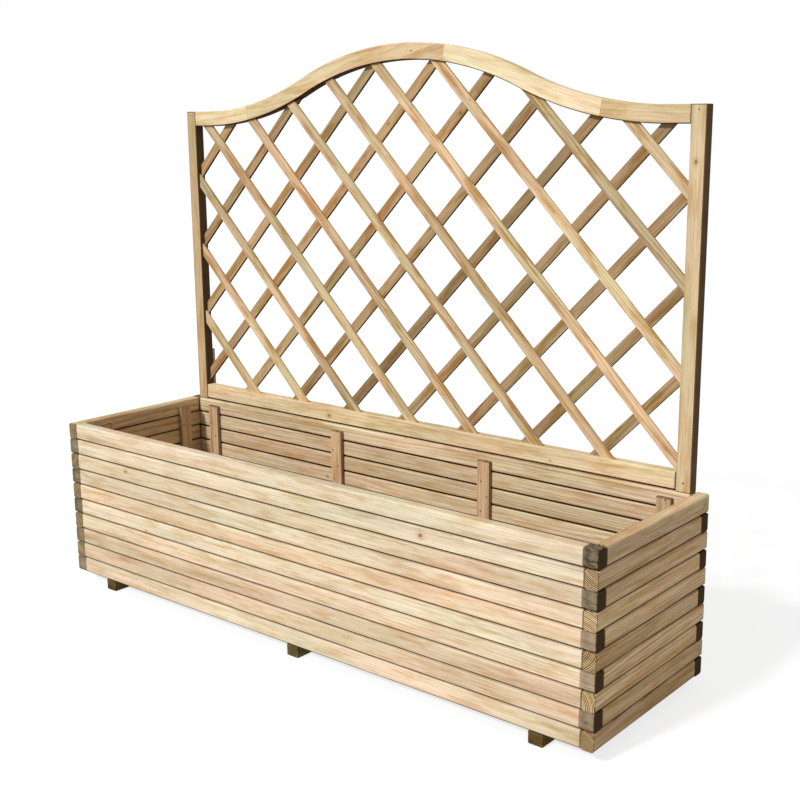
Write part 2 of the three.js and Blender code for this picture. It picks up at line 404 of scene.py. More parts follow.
    def _shaded(self, s: Sketch, colour: Socket, x: Socket, upwards: Socket,
                end: Socket) -> Socket:
        """Paints shade, with some grime, on the roundings that turn into a joint, paints shade on
        the faces turned from the light, and darkens the sawn edges.

        Args:
            s: The material's sketch.
            colour: The wood's colour so far.
            x: Distance along the piece from its middle.
            upwards: How far the face looks along the piece's local Z, from -1 to 1.
            end: 1 on end grain.

        Returns:
            The colour with its dark places.
        """
        # Painted shade on the faces that look down the piece's local Z: roundings into a joint and
        # sides turned from the light.
        low = s.product(s.spread(s.product(upwards, -1.0), 0.12, 0.6), s.trait("under"))
        # Painted shade on the upper roundings in a joint.
        high = s.product(s.spread(upwards, 0.6, 0.95), s.trait("over"))
        left = s.maths("SUBTRACT", s.trait("half"), s.maths("ABSOLUTE", x))
        sawn = s.product(s.spread(left, 0.0004, 0.0036, 0.85, 0.0), s.maths("SUBTRACT", 1.0, end))
        dark = s.maths("MAXIMUM", s.maths("MAXIMUM", low, high), sawn)
        # The tint paints the shade, with joint grime, and darkens the sawn edges.
        return s.tinted(dark, colour, srgb(*self.joint_grime_and_painted_shade))

    def _rings(self, s: Sketch, place: tuple[Socket, Socket, Socket], seed: Socket,
               bulge: Socket, end: Socket) -> Socket:
        """Gives how dark a ring's line is at each point. The lines are broader on end grain.

        Args:
            s: The material's sketch.
            place: Distance along the grain, shifted by the piece's seed, and the two across it.
            seed: The piece's seed.
            bulge: How far a knot pushes the rings aside.
            end: 1 on end grain.

        Returns:
            A value from 0 between rings to 1 on a ring's dark line.
        """
        run, y, z = place
        slow = s.product(run, 0.75)
        squares = []
        for side, pith, start in ((y, "pith_y", 0.0), (z, "pith_z", 9.0)):
            wander = s.noise(s.point(slow, s.maths("ADD", seed, start), start), 2.0, 0.45)
            shift = s.product(s.maths("SUBTRACT", wander, 0.5), 0.05)
            off = s.maths("SUBTRACT", s.maths("ADD", side, shift), s.trait(pith))
            squares.append(s.product(off, off))
        ripple = s.noise(s.point(s.product(run, 9.0), s.product(y, 60.0), s.product(z, 60.0)), 1.0)
        radius = s.maths("ADD", s.maths("SQRT", s.maths("ADD", *squares)),
                         s.product(ripple, 0.0016))
        count = s.maths("DIVIDE", s.maths("SUBTRACT", radius, bulge), self.ring)
        part = s.maths("FRACT", count)
        line = s.product(s.spread(part, s.spread(end, 0.0, 1.0, 0.25, 0.42),
                                  s.spread(end, 0.0, 1.0, 0.9, 0.56)),
                         s.spread(part, 0.93, 1.0, 1.0, 0.0))
        year = s.add("TexWhiteNoise", noise_dimensions="1D")
        s.feed(year.inputs["W"], s.maths("ADD", s.maths("FLOOR", count), seed))
        return s.product(line, s.spread(year.outputs["Value"], 0.0, 1.0, 0.35, 1.0))

    def _knots(self, s: Sketch, run: Socket, z: Socket) -> tuple[Socket, Socket, Socket]:
        """Scatters knots along a piece, in some of its stretches.

        Args:
            s: The material's sketch.
            run: Distance along the grain, shifted by the piece's seed.
            z: Distance across the face.

        Returns:
            The distance to the nearest knot, that knot's radius, and 1 where there is one.
        """
        cells = s.add("TexVoronoi", voronoi_dimensions="1D", feature="F1")
        cells.inputs["Scale"].default_value = 1.0
        cells.inputs["Randomness"].default_value = 0.85
        place = s.maths("DIVIDE", run, self.knot_pitch)
        s.feed(cells.inputs["W"], place)
        parts = s.add("SeparateColor")
        s.feed(parts.inputs[0], cells.outputs["Color"])
        along = s.product(s.maths("SUBTRACT", place, cells.outputs["W"]), self.knot_pitch * 0.8)
        height = s.product(s.maths("SUBTRACT", parts.outputs[0], 0.5), 0.034)
        aside = s.maths("SUBTRACT", z, height)
        gap = s.maths("SQRT", s.maths("ADD", s.product(along, along), s.product(aside, aside)))
        size = s.spread(parts.outputs[1], 0.0, 1.0, 0.0016, 0.0052)
        here = s.maths("LESS_THAN", parts.outputs[2], s.trait("knots"))
        return gap, size, here

    def _draw_knots(self, s: Sketch, colour: Socket, gap: Socket, size: Socket,
                    here: Socket) -> Socket:
        """Darkens the wood in each knot and in a soft rim round it.

        Args:
            s: The material's sketch.
            colour: The wood's colour so far.
            gap: The distance to the nearest knot.
            size: That knot's radius.
            here: 1 where there is a knot.

        Returns:
            The colour with its knots.
        """
        core = s.spread(gap, s.product(size, 0.75), s.product(size, 1.15), 0.8, 0.0)
        rim = s.spread(gap, size, s.product(size, 3.6), 0.45, 0.0)
        darker = s.tinted(s.product(here, rim), colour, srgb(*self.knot_rim))
        return s.blend(s.product(here, core), darker, srgb(*self.knot))

    def _stained(self, s: Sketch, colour: Socket, place: tuple[Socket, Socket, Socket],
                 end: Socket, fibre: Socket) -> Socket:
        """Lays the dip stain on a piece's stained end, if it has one.

        Args:
            s: The material's sketch.
            colour: The wood's colour so far.
            place: Distance along the piece from its middle, and the two across it.
            end: 1 on end grain.
            fibre: The fine fibre noise.

        Returns:
            The colour with its stain.
        """
        x, y, z = place
        ragged = s.noise(s.point(s.product(x, 60.0), s.product(y, 130.0), s.product(z, 130.0)),
                         2.0)
        blotch = s.spread(ragged, 0.35, 0.68, 0.0, 0.65)
        uneven = s.product(s.maths("SUBTRACT", ragged, 0.5), s.trait("ragged"))
        edge = s.maths("ADD", s.maths("ABSOLUTE", s.maths("SUBTRACT", x, s.trait("stain_end"))),
                       uneven)
        reach = s.trait("stain_reach")
        depth = s.spread(end, 0.0, 1.0, s.trait("stain_depth"), 0.97)
        soaked = s.product(s.spread(edge, s.maths("SUBTRACT", reach, 0.0012),
                                    s.maths("ADD", reach, 0.0012), 1.0, 0.0), depth)
        wet = s.product(soaked, s.maths("GREATER_THAN", reach, 0.001))
        side = s.blend(s.maths("ADD", blotch, s.spread(fibre, 0.3, 0.7, 0.0, 0.45)),
                       srgb(*self.stain), shade(self.stain, 0.45))
        tip = s.blend(blotch, srgb(*self.stained_end), shade(self.stained_end, 0.6))
        return s.blend(wet, colour, s.blend(end, side, tip))


@dataclass(frozen=True)
class Steel:
    """Zinc-plated steel gone dull outdoors.

    Attributes:
        name: The material's name.
        bright: Colour of the clean plating.
        dull: Colour where it has gone dull.
        cell: Size of a blotch, in metres.
    """

    name: str
    bright: Colour = (150, 146, 138)
    dull: Colour = (74, 66, 56)
    cell: float = 0.0025

    def build(self) -> bpy.types.Material:
        """Makes the material: blotches of clean and dull plating.

        Returns:
            The material.
        """
        s = Sketch.material(self.name)
        scaled = s.add("VectorMath", operation="SCALE")
        s.feed(scaled.inputs[0], s.add("TexCoord").outputs["Object"])
        scaled.inputs["Scale"].default_value = 1 / self.cell
        blotch = s.noise(scaled.outputs[0], 3.0)
        shader = s.add("BsdfPrincipled")
        s.feed(shader.inputs["Base Color"], s.blend(s.spread(blotch, 0.35, 0.65),
                                                    srgb(*self.bright), srgb(*self.dull)))
        shader.inputs["Metallic"].default_value = 0.9
        s.feed(shader.inputs["Roughness"], s.spread(blotch, 0.3, 0.7, 0.35, 0.6))
        return s.finish(shader)


class Finish(Enum):
    """The finishes on the planter, each with the record's slot that it stands for."""

    WALL = (Softwood("wall_softwood", (251, 239, 215), (213, 182, 140)), "wall_timber")
    BATTEN = (Softwood("batten_softwood", (228, 204, 170), (180, 148, 114)), "batten_timber")
    FRAME = (Softwood("frame_softwood", (246, 231, 198), (206, 176, 131), contrast=0.4),
             "frame_timber")
    SLAT = (Softwood("slat_softwood", (246, 227, 194), (200, 168, 126), ring=0.0032,
                     contrast=0.65, mottle=0.9), "slat_timber")
    BASE = (Softwood("base_softwood", (154, 142, 104), (112, 98, 66), mottle=0.8),
            "base_timber")
    STEEL = (Steel("dull_zinc"), "")

    def __init__(self, recipe: Softwood | Steel, slot: str) -> None:
        """Keeps a finish's recipe and its slot."""
        self.recipe = recipe
        self.slot = slot

    def dress(self, piece: bpy.types.Object) -> None:
        """Gives a piece this finish.

        Args:
            piece: The piece.
        """
        material = bpy.data.materials.get(self.recipe.name) or self.recipe.build()
        piece.data.materials.append(material)


@dataclass
class Character:
    """What sets one piece of timber apart from another of the same finish.

    Attributes:
        seed: Where in the tree's figure the piece was cut.
        tone: Lighter or darker than its finish, as a share.
        warmth: How pink it is, from 0 to 1.
        honey: How golden it is, from 0 to 1.
        pith_y: Place of the tree's middle across the piece's thickness, in metres.
        pith_z: Place of the tree's middle across its height, in metres.
        knots: Share of its stretches that hold a knot.
        figure: How strongly its rings and streaks show.
        under: How dark the painted shade is on the faces that look down its local Z, from 0 to 1.
        over: How dark the painted shade is on the faces that look straight up its local Z, from 0
            to 1.
        half: Half its length, in metres, where its sawn edges are dark.
        weather: How grey its end grain has gone, from 0 to 1.
        stain_end: Local X of the end that is stained.
        stain_reach: How far the stain reaches from that end, in metres.
        stain_depth: How strongly the stain covers the faces, from 0 to 1.
        ragged: How uneven the stain's edge is, in metres.
    """

    seed: float = 0.0
    tone: float = 0.0
    warmth: float = 0.0
    honey: float = 0.0
    pith_y: float = 0.05
    pith_z: float = 0.02
    knots: float = 0.3
    figure: float = 1.0
    under: float = 0.0
    over: float = 0.0
    half: float = 9.0
    weather: float = 0.0
    stain_end: float = 0.0
    stain_reach: float = 0.0
    stain_depth: float = 0.9
    ragged: float = 0.004

    @classmethod
    def drawn(cls, source: random.Random, tone: float = 0.0, warmth: float = 0.1,
              spread: float = 0.05, **traits: float) -> "Character":
        """Draws a piece's character from a seeded source.

        Args:
            source: The seeded source.
            tone: The middle of the tones.
            warmth: The middle of the warmths.
            spread: How far the tones and warmths differ.
            traits: Further traits that are settled beforehand.

        Returns:
            The new character.
        """
        side = source.choice((-1, 1))
        return cls(seed=source.uniform(1, 90), tone=tone + source.uniform(-spread, spread),
                   warmth=max(0.0, warmth + source.uniform(-spread, spread)),
                   pith_y=side * source.uniform(0.02, 0.1),
                   pith_z=source.choice((-1, 1)) * source.uniform(0.02, 0.09),
                   knots=source.uniform(0.0, 0.2), **traits)

    def mark(self, piece: bpy.types.Object) -> None:
        """Writes the traits on a piece, where its material reads them."""
        for key, value in vars(self).items():
            piece[key] = float(value)


# ---------------------------------------------------------------- timber


class Grain(Enum):
    """Which way a piece's grain runs: the turn from its own axes to the planter's."""

    ALONG_X = Matrix.Identity(3)
    ALONG_Y = Matrix.Rotation(math.pi / 2, 3, "Z")
    UPRIGHT = Matrix.Rotation(-math.pi / 2, 3, "Y")
    UPRIGHT_ON_END_WALL = Matrix(((0, 1, 0), (0, 0, 1), (1, 0, 0)))

    def own_size(self, size: Vector) -> Vector:
        """Turns a size along the planter's axes into length, thickness and height."""
        return Vector([abs(part) for part in self.value.transposed() @ size])


def soften(piece: bpy.types.Object, crisp: float = math.radians(40), weight: int = 80) -> None:
    """Shades a piece smoothly over its roundings, with its flat faces flat and its cuts sharp.

    Args:
        piece: The piece.
        crisp: Edges that turn by this angle or more stay sharp.
        weight: How strongly the large faces set the shading.
    """
    mesh = piece.data
    bm = bmesh.new()
    bm.from_mesh(mesh)
    bmesh.ops.recalc_face_normals(bm, faces=bm.faces)
    for face in bm.faces:
        face.smooth = True
    for edge in bm.edges:
        edge.smooth = edge.calc_face_angle(0.0) < crisp
    bm.to_mesh(mesh)
    bm.free()
    normals = piece.modifiers.new("flat_faces", "WEIGHTED_NORMAL")
    normals.weight = weight
    normals.keep_sharp = True


def place_piece(name: str, bm: bmesh.types.BMesh, turn: Matrix, place: Vector, finish: Finish,
                character: Character | None = None, nodes: tuple[str, ...] = ()
                ) -> bpy.types.Object:
    """Puts a mesh in the scene as one finished piece of the planter.

    Args:
        name: The piece's name.
        bm: Its mesh in its own axes, with its grain along X. It is used up.
        turn: The turn from its own axes to the planter's.
        place: Where its origin goes.
        finish: Its finish.
        character: Its own traits, if it is timber.
        nodes: The CAD nodes that it stands for.

    Returns:
        The placed piece.
    """
    mesh = bpy.data.meshes.new(name)
    bm.to_mesh(mesh)
    bm.free()
    piece = bpy.data.objects.new(name, mesh)
    bpy.context.scene.collection.objects.link(piece)
    piece.matrix_world = Matrix.Translation(place) @ turn.to_4x4()
    finish.dress(piece)
    if character:
        character.mark(piece)
    soften(piece)
    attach(piece, "root")
    if nodes:
        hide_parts(*nodes)
    LOG.info("built %s", name)
    return piece


@dataclass
class Bar:
    """A straight piece of sawn timber with rounded long edges.

    Attributes:
        name: The piece's name.
        low: Its lowest corner.
        high: Its highest corner.
        grain: Which way its grain runs.
        arris: Rounding of its long edges.
        end_arris: Rounding round its ends.
        arris_steps: Facets in a long edge's rounding.
        end_steps: Facets in an end's rounding.
    """

    name: str
    low: Vector
    high: Vector
    grain: Grain
    arris: float = 0.004
    end_arris: float = 0.0009
    arris_steps: int = 5
    end_steps: int = 2

    @property
    def length(self) -> float:
        """Its length along the grain."""
        return self.grain.own_size(self.high - self.low).x

    def build(self, finish: Finish, character: Character, *nodes: str) -> bpy.types.Object:
        """Makes and places the piece.

        Args:
            finish: Its finish.
            character: Its own traits.
            nodes: The CAD nodes that it stands for.

        Returns:
            The placed piece.
        """
        character.half = self.length / 2
        bm = bmesh.new()
        bmesh.ops.create_cube(bm, size=1.0)
        bmesh.ops.scale(bm, vec=self.grain.own_size(self.high - self.low), verts=bm.verts)
        for along, offset, steps in ((True, self.arris, self.arris_steps),
                                     (False, self.end_arris, self.end_steps)):
            edges = [edge for edge in bm.edges
                     if (abs(edge.verts[0].co.x - edge.verts[1].co.x) > 1e-6) == along]
            bmesh.ops.bevel(bm, geom=edges, offset=offset, offset_type="OFFSET", segments=steps,
                            profile=0.5, affect="EDGES", clamp_overlap=True)
        return place_piece(self.name, bm, self.grain.value, (self.low + self.high) / 2, finish,
                           character, nodes)


# ---------------------------------------------------------------- fasteners


class Head(Enum):
    """Kinds of fastener head: radius and height in metres, and whether it has a cross recess."""

    NAIL = (0.0024, 0.0004, False)
    SCREW = (0.0042, 0.0005, True)


@dataclass
class Fasteners:
    """The heads of one group of nails or screws, as one piece.

    Attributes:
        name: The piece's name.
        head: Which kind of head they have.
        spots: Where each head sits, and the way it faces.
        sides: Number of sides of a head's outline.
        sunk: Depth of a head's foot under the timber's face.
        twist: Turn from one head to the next, in radians.
        shoulder: Height of a head's upright side, as a share of the head's.
        crown: Radius of a head's top, as a share of the head's.
        recess_arm: Reach of a cross recess from the middle, as a share of the head's radius.
        recess_half: Half the width of its arms, as a share of the head's radius.
        recess_foot: Size of its floor, as a share of its rim.
        recess_depth: Of its floor below the head's top.
    """

    name: str
    head: Head
    spots: list[tuple[Vector, Vector]] = field(default_factory=list)
    sides: int = 20
    sunk: float = 0.002
    twist: float = 1.3
    shoulder: float = 0.4
    crown: float = 0.9
    recess_arm: float = 0.62
    recess_half: float = 0.14
    recess_foot: float = 0.7
    recess_depth: float = 0.0018

    def build(self) -> bpy.types.Object:
        """Makes and places the heads.

        Returns:
            The heads as one piece.
        """
        bm = bmesh.new()
        for index, (place, facing) in enumerate(self.spots):
            turn = facing.to_track_quat("Z", "Y").to_matrix().to_4x4()
            spin = Matrix.Rotation(index * self.twist, 4, "Z")
            self._head(bm, Matrix.Translation(place) @ turn @ spin)
        return place_piece(self.name, bm, Matrix.Identity(3), Vector(), Finish.STEEL)

    def _head(self, bm: bmesh.types.BMesh, where: Matrix) -> None:
        """Adds one head to the mesh.

        Args:
            bm: The mesh in the making.
            where: The head's place and turn, with Z out of the timber.
        """
        radius, height, crossed = self.head.value
        levels = ((radius, -self.sunk), (radius, height * self.shoulder),
                  (radius * self.crown, height))
        angles = [math.tau * step / self.sides for step in range(self.sides)]
        rings = [[bm.verts.new(where @ Vector((r * math.cos(a), r * math.sin(a), z)))
                  for a in angles] for r, z in levels]
        for lower, upper in zip(rings, rings[1:]):
            self._band(bm, lower, upper)
        bm.faces.new(list(reversed(rings[0])))
        if not crossed:
            bm.faces.new(rings[-1])
            return
        arm, half = radius * self.recess_arm, radius * self.recess_half
        outline = [(arm, -half), (arm, half), (half, half), (half, arm), (-half, arm),
                   (-half, half), (-arm, half), (-arm, -half), (-half, -half), (-half, -arm),
                   (half, -arm), (half, -half)]
        rim = [bm.verts.new(where @ Vector((x, y, height))) for x, y in outline]
        foot = [bm.verts.new(where @ Vector((x * self.recess_foot, y * self.recess_foot,
                                             height - self.recess_depth)))
                for x, y in outline]
        edges = [bm.edges.new(pair) for pair in zip(rim, rim[1:] + rim[:1])]
        edges += [bm.edges.get(pair) for pair in zip(rings[-1], rings[-1][1:] + rings[-1][:1])]
        bmesh.ops.triangle_fill(bm, edges=edges, use_beauty=True)
        self._band(bm, rim, foot)
        bm.faces.new(foot)

    @staticmethod
    def _band(bm: bmesh.types.BMesh, lower: list[bmesh.types.BMVert],
              upper: list[bmesh.types.BMVert]) -> None:
        """Joins two closed rows of points with a band of faces.

        Args:
            bm: The mesh in the making.
            lower: The first row.
            upper: The second row, of as many points.
        """
        count = len(lower)
        for step in range(count):
            after = (step + 1) % count
            bm.faces.new((lower[step], lower[after], upper[after], upper[step]))


# ---------------------------------------------------------------- the box


@dataclass(frozen=True)
class SoilSpace:
    """The space inside the walls, above the floor boards.

    Attributes:
        low: Its lowest corner.
        high: Its highest corner.
    """

    low: Vector
    high: Vector

    @classmethod
    def measured(cls) -> "SoilSpace":
        """Measures the space between the CAD's boards.

        Returns:
            The space.
        """
        return cls(Vector((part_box("left_board_01")[1].x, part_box("front_board_01")[1].y,
                           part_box("base_pallet")[1].z)),
                   Vector((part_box("right_board_01")[0].x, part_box("back_board_01")[0].y,
                           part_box("front_board_01")[1].z)))


@dataclass
class BoardWall:
    """One wall of the box: its boards, one on another, and the battens nailed inside them.

    Attributes:
        wall: The wall's name.
        side: Which side of the box it is on, -1 or 1.
        long: Whether it is one of the two long walls.
        space: The space inside the walls.
        boards: A character for each board, from the top.
        source: The seeded source of the battens' characters and the nails' places.
        courses: How many boards it has.
        arris: Rounding of the boards' long edges.
        joint_painted_shade: How dark the painted shade and grime are on the boards' lower
            roundings, from 0 to 1.
        upper_painted_shade: The same painted shade for the upper roundings in a joint.
        stains: How strongly each board's running end is stained, from the top.
        stain_reach: How far the stain reaches from a running end of a long wall's board.
        screw_inset: From a board's running end to its screw.
        screwed: The courses that show a screw.
        batten_width: Of the upright battens.
        batten_thickness: Of the upright battens.
        batten_arris: Rounding of the battens' long edges.
        batten_drop: Of the battens' tops below the rim.
        batten_lift: Of the battens' feet above the floor boards.
        batten_margins: From the walls at its ends to its first and last batten.
        batten_count: How many battens it has.
        batten_painted_shade: How dark the painted shade is on the battens' shaded long edges, from
            0 to 1.
        nail_stagger: Of the battens' nails, in turn to either side of the middle.
        nail_scatter: How far a nail strays along the wall and upwards.
        rest_gap: Between the battens and the boards.
    """

    wall: str
    side: int
    long: bool
    space: SoilSpace
    boards: list[Character]
    source: random.Random
    courses: int = 10
    arris: float = 0.0064
    joint_painted_shade: float = 1.0
    upper_painted_shade: float = 0.3
    stains: tuple[float, ...] = (1.0, 0.85, 0.86, 0.9, 0.7, 0.95, 0.65, 0.8, 0.78, 0.8)
    stain_reach: float = 0.0385
    screw_inset: float = 0.019
    screwed: tuple[int, ...] = (1, 9)
    batten_width: float = 0.040
    batten_thickness: float = 0.012
    batten_arris: float = 0.002
    batten_drop: float = 0.016
    batten_lift: float = 0.002
    batten_margins: tuple[float, float] = (0.058, 0.043)
    batten_count: int = 4
    batten_painted_shade: float = 0.45
    nail_stagger: float = 0.009
    nail_scatter: tuple[float, float] = (0.004, 0.008)
    rest_gap: float = 0.0003

    @property
    def along(self) -> int:
        """The axis that its boards run along: 0 for X, 1 for Y."""
        return 0 if self.long else 1

    @property
    def outwards(self) -> Vector:
        """The way the wall's outer face looks."""
        return Vector((0, self.side, 0)) if self.long else Vector((self.side, 0, 0))

    @property
    def lowest_node(self) -> str:
        """The node that holds the lowest board and the battens."""
        return f"{self.wall}_board_{self.courses:02d}_and_battens"

    def board_box(self, course: int) -> tuple[Vector, Vector]:
        """Gives a board's corners. The lowest board lies as the one two courses higher does.

        Args:
            course: The board's course, counted from the top.

        Returns:
            Its lowest and its highest corner.
        """
        if course < self.courses:
            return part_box(f"{self.wall}_board_{course:02d}")
        low, high = self.board_box(course - 2)
        drop = 2 * (self.board_box(1)[0].z - self.board_box(2)[0].z)
        return low - Vector((0, 0, drop)), high - Vector((0, 0, drop))

    def runs_to(self, course: int) -> int:
        """Says which end of a board runs through to the box's outer face.

        Args:
            course: The board's course, counted from the top.

        Returns:
            -1 for the end at the lower coordinate, 1 for the other.
        """
        neighbour = course + 1 if course < self.courses else course - 1
        own = self.board_box(course)[1][self.along]
        return 1 if own > self.board_box(neighbour)[1][self.along] else -1

    def build(self) -> None:
        """Makes the wall's boards, its battens and what fastens them."""
        grain = Grain.ALONG_X if self.long else Grain.ALONG_Y
        screws = Fasteners(f"{self.wall}_corner_screws", Head.SCREW)
        for course, character in enumerate(self.boards, 1):
            low, high = self.board_box(course)
            bar = Bar(f"{self.wall}_plank_{course:02d}", low, high, grain, self.arris)
            tip = self.runs_to(course)
            # Painted shade on the roundings where a board meets the next one.
            character.under = self.joint_painted_shade
            character.over = self.upper_painted_shade if course > 1 else 0.0
            if self.long:
                character.stain_end = tip * bar.length / 2
                character.stain_reach = self.stain_reach
                character.stain_depth = self.stains[course - 1]
            last = course == self.courses
            bar.build(Finish.WALL, character,
                      self.lowest_node if last else f"{self.wall}_board_{course:02d}")
            if course in self.screwed:
                screws.spots.append((self._screw_place(low, high, tip), self.outwards))
        screws.build()
        self._build_battens()

    def _screw_place(self, low: Vector, high: Vector, tip: int) -> Vector:
        """Gives the place of the screw near a board's running end, on its outer face.

        Args:
            low: The board's lowest corner.
            high: Its highest corner.
            tip: Which end runs through, -1 or 1.

        Returns:
            The screw's place.
        """
        place = (low + high) / 2
        place[self.along] = (high if tip > 0 else low)[self.along] - tip * self.screw_inset
        across = 1 - self.along
        place[across] = (high if self.side > 0 else low)[across]
        return place

    def _build_battens(self) -> None:
        """Makes the wall's battens and the nails through them into each board but the lowest."""
        across = 1 - self.along
        inner = (self.space.high if self.side > 0 else self.space.low)[across]
        inner -= self.side * self.rest_gap
        first = self.space.low[self.along] + self.batten_margins[0] + self.batten_width / 2
        last = self.space.high[self.along] - self.batten_margins[1] - self.batten_width / 2
        grain = Grain.UPRIGHT if self.long else Grain.UPRIGHT_ON_END_WALL
        nails = Fasteners(f"{self.wall}_batten_nails", Head.NAIL)
        stray, stray_up = self.nail_scatter
        for index in range(self.batten_count):
            middle = first + (last - first) * index / (self.batten_count - 1)
            low, high = Vector(), Vector()
            low[self.along] = middle - self.batten_width / 2
            high[self.along] = middle + self.batten_width / 2
            low[across], high[across] = sorted((inner, inner - self.side * self.batten_thickness))
            low.z = self.space.low.z + self.batten_lift
            high.z = self.space.high.z - self.batten_drop
            bar = Bar(f"{self.wall}_batten_{index + 1}", low, high, grain, self.batten_arris)
            # Each batten gets painted shade on one long edge.
            bar.build(Finish.BATTEN, Character.drawn(self.source, under=self.batten_painted_shade),
                      self.lowest_node)
            for course in range(1, self.courses):
                board_low, board_high = self.board_box(course)
                spot = (board_low + board_high) / 2
                sway = self.nail_stagger if course % 2 else -self.nail_stagger
                spot[self.along] = middle + sway + self.source.uniform(-stray, stray)
                spot[across] = inner - self.side * self.batten_thickness
                spot.z += self.source.uniform(-stray_up, stray_up)
                nails.spots.append((spot, -self.outwards))
        nails.build()


@dataclass
class BasePallet:
    """Three bearers across the box, with the floor boards nailed on them.

    Attributes:
        source: The seeded source of the pieces' characters.
        space: The space inside the walls.
        bearer_inset: Of an end bearer's middle from the box's end.
        bearer_width: Of a bearer.
        bearer_height: Of a bearer.
        bearer_arris: Rounding of a bearer's long edges.
        floor_count: How many floor boards there are.
        floor_gap: Of the drainage slots between them.
        floor_clearance: Between the floor and the walls.
        floor_arris: Rounding of a floor board's long edges.
        floor_tone: How much lighter the floor boards are than the bearers, as a share.
        tone_spread: How far the bearers' tones differ.
        nail_shares: Of a floor board's width, where its nails are.
    """

    source: random.Random
    space: SoilSpace
    bearer_inset: float = 0.150
    bearer_width: float = 0.040
    bearer_height: float = 0.032
    bearer_arris: float = 0.003
    floor_count: int = 4
    floor_gap: float = 0.008
    floor_clearance: float = 0.003
    floor_arris: float = 0.002
    floor_tone: float = 0.5
    tone_spread: float = 0.1
    nail_shares: tuple[float, float] = (0.22, 0.78)

    def build(self) -> None:
        """Makes the bearers, the floor boards and the nails through them."""
        low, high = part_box("base_pallet")
        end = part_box("front_board_01")[1].x - self.bearer_inset
        middles = (-end, 0.0, end)
        for index, middle in enumerate(middles):
            bearer = Bar(f"bearer_{index + 1}",
                         Vector((middle - self.bearer_width / 2, low.y, low.z)),
                         Vector((middle + self.bearer_width / 2, high.y, self.bearer_height)),
                         Grain.ALONG_Y, self.bearer_arris)
            bearer.build(Finish.BASE, Character.drawn(self.source, spread=self.tone_spread),
                         "base_pallet")
        front = self.space.low.y + self.floor_clearance
        back = self.space.high.y - self.floor_clearance
        width = (back - front + self.floor_gap) / self.floor_count - self.floor_gap
        nails = Fasteners("floor_nails", Head.NAIL)
        for index in range(self.floor_count):
            start = front + index * (width + self.floor_gap)
            board = Bar(f"floor_board_{index + 1}",
                        Vector((low.x, start, self.bearer_height)),
                        Vector((high.x, start + width, high.z)), Grain.ALONG_X, self.floor_arris)
            board.build(Finish.BASE, Character.drawn(self.source, tone=self.floor_tone),
                        "base_pallet")
            nails.spots += [(Vector((middle, start + width * share, high.z)), Vector((0, 0, 1)))
                            for middle in middles for share in self.nail_shares]
        nails.build()


# ---------------------------------------------------------------- the trellis


